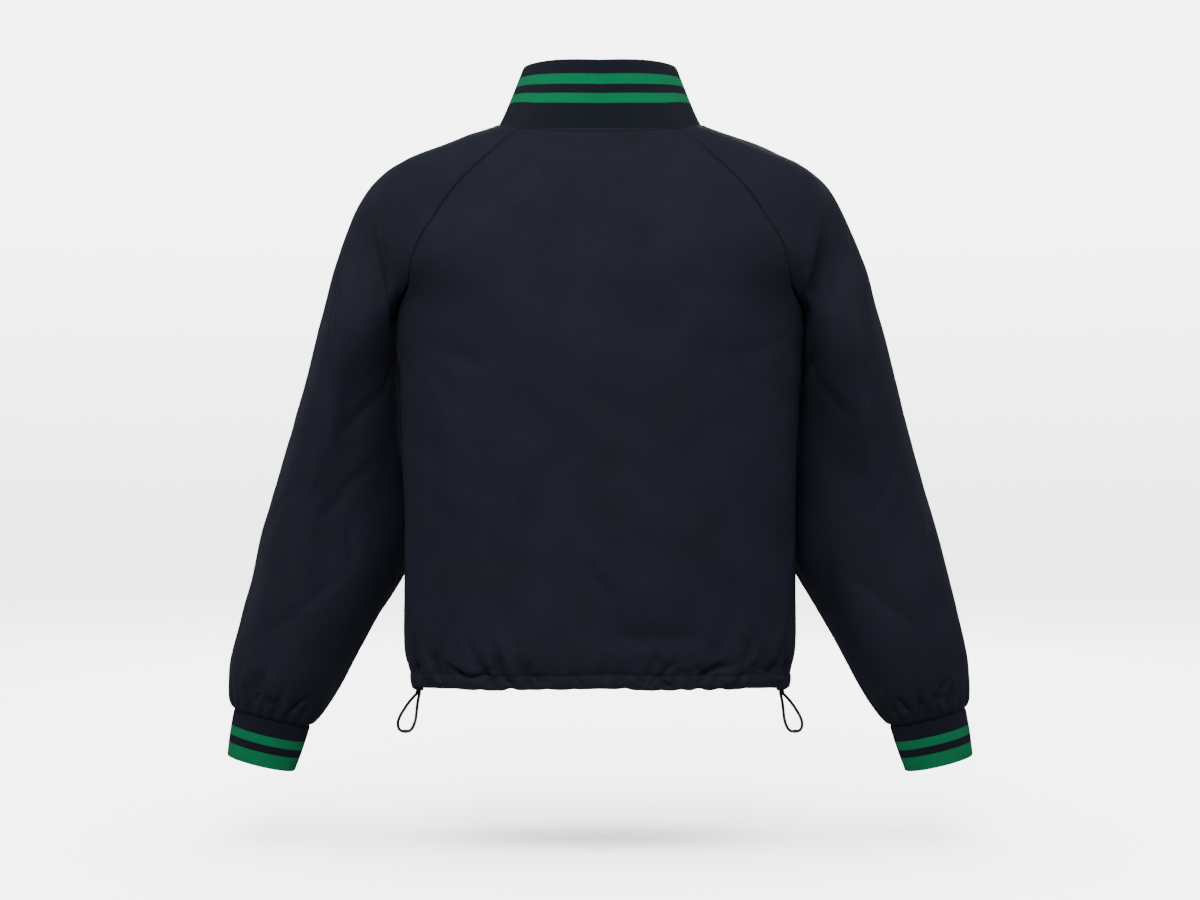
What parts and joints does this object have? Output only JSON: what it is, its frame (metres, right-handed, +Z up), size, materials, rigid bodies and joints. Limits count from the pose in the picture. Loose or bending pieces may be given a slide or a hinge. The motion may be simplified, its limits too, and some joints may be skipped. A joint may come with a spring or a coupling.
{
  "type": "pullover",
  "caption": "Navy quarter-zip pullover with raglan sleeves, a striped rib collar and cuffs, and a gathered drawcord hem, filled out as if worn.",
  "frame": {"origin": "the middle of the neck base, at the height of the collar seam, where the wearer's neck and shoulders hold the garment", "axes": "+X towards the wearer's left, across both sleeves; +Y out of the back; +Z up"},
  "size_m": [0.8216, 0.2513, 0.7678],
  "materials": {
    "shell_cloth": "matt navy woven cloth",
    "rib_knit": "matt navy rib knit with green stripes",
    "zip_tape": "matt navy woven tape",
    "zip_moulded": "satin navy moulded plastic",
    "elastic_cord": "matt black braided elastic",
    "lock_plastic": "satin dark grey plastic"
  },
  "bodies": {
    "garment": {"back_panel": "shell_cloth", "front_panel": "shell_cloth", "sleeve_left": "shell_cloth", "sleeve_right": "shell_cloth", "collar": "rib_knit", "cuff_left": "rib_knit", "cuff_right": "rib_knit", "zip_tape_left": "zip_tape", "zip_tape_right": "zip_tape", "zip_chain": "zip_moulded", "zip_bottom_stop": "zip_moulded", "zip_slider": "zip_moulded", "cord_outer_left": "elastic_cord", "cord_inner_left": "elastic_cord", "cord_outer_right": "elastic_cord", "cord_inner_right": "elastic_cord", "cord_lock_left": "lock_plastic", "cord_lock_right": "lock_plastic", "cord_bead_left": "lock_plastic", "cord_bead_right": "lock_plastic"},
    "pull_tab": {"zip_pull": "zip_moulded"}
  },
  "joints": [
    {"name": "pull_tab_hinge", "type": "hinge", "parent": "garment", "child": "pull_tab", "pos_m": [0, -0.08989, -0.00668], "axis": [-1, 0, 0], "range_deg": [0, 150]}
  ]
}
